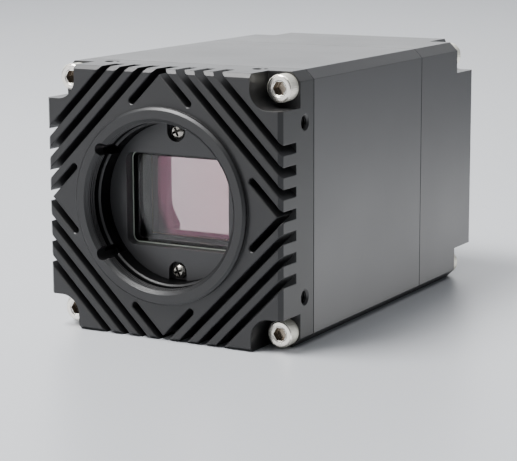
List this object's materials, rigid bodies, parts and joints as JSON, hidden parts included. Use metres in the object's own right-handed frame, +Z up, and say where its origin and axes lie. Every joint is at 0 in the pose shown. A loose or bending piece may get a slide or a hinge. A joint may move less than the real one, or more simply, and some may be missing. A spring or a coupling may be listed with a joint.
{
  "type": "machine vision camera",
  "caption": "Square industrial camera body with slotted cooling fins round an open threaded lens mount, a rectangular image sensor behind a filter, and sockets at the rear.",
  "frame": {"origin": "centre of the lens flange, the flat front face of the raised lens mount ring", "axes": "the lens looks along -Y, +Z is up, +X is to the right seen from the front"},
  "size_m": [0.055, 0.1006, 0.055],
  "materials": {
    "black_anodised_aluminium": "black anodised, satin",
    "black_frame_aluminium": "black anodised, matt",
    "stainless_steel": "turned stainless steel",
    "plated_steel": "zinc-nickel plated, satin",
    "seal_rubber": "flat",
    "filter_glass": "coated clear glass",
    "optical_sealant": "cured sealant",
    "cover_glass": "clear glass",
    "silicon": "polished silicon with a pink sheen",
    "ceramic": "dark sintered ceramic",
    "circuit_board": "solder mask over glass fibre",
    "thermal_pad": "soft gap filler",
    "milled_aluminium": "milled",
    "moulded_black": "moulded",
    "brass": "turned",
    "gold_plating": "gold flashed",
    "tin_plate": "folded tin plate",
    "nickel_plating": "satin nickel",
    "lamp_lens": "clear moulded light guide",
    "led_package": "moulded",
    "ferrite": "moulded ferrite",
    "can_aluminium": "drawn can"
  },
  "bodies": {
    "root": {"front_housing": "black_anodised_aluminium", "middle_housing": "black_anodised_aluminium", "rear_housing": "black_anodised_aluminium", "front_seal": "seal_rubber", "rear_seal": "seal_rubber", "front_cap_screws": "stainless_steel", "rear_cap_screws": "stainless_steel", "filter_frame": "black_frame_aluminium", "filter_frame_screws": "plated_steel", "filter_glass": "filter_glass", "filter_bead": "optical_sealant", "sensor_lid": "cover_glass", "sensor_die": "silicon", "sensor_package": "ceramic", "sensor_board": "circuit_board", "sensor_spacers": "brass", "sensor_thermal_pad": "thermal_pad", "heat_spreader": "milled_aluminium", "processor_thermal_pad": "thermal_pad", "processor_chip": "moulded_black", "processor_board": "circuit_board", "memory_chips": "moulded_black", "link_plug": "moulded_black", "link_socket": "moulded_black", "front_posts": "brass", "middle_posts": "brass", "rear_posts": "brass", "power_board": "circuit_board", "header_pins": "gold_plating", "header_bodies": "moulded_black", "power_chokes": "ferrite", "capacitor_cans": "can_aluminium", "riser_board": "circuit_board", "riser_sockets": "moulded_black", "interface_board": "circuit_board", "interface_board_screws": "plated_steel", "network_transformer": "moulded_black", "network_chip": "moulded_black", "network_jack_shell": "tin_plate", "network_jack_insert": "moulded_black", "network_jack_contacts": "gold_plating", "network_jack_lamps": "lamp_lens", "io_socket_shell": "nickel_plating", "io_socket_insert": "moulded_black", "io_socket_pins": "gold_plating", "io_socket_nut": "brass", "status_led": "led_package", "status_light_pipe": "lamp_lens"}
  },
  "joints": []
}
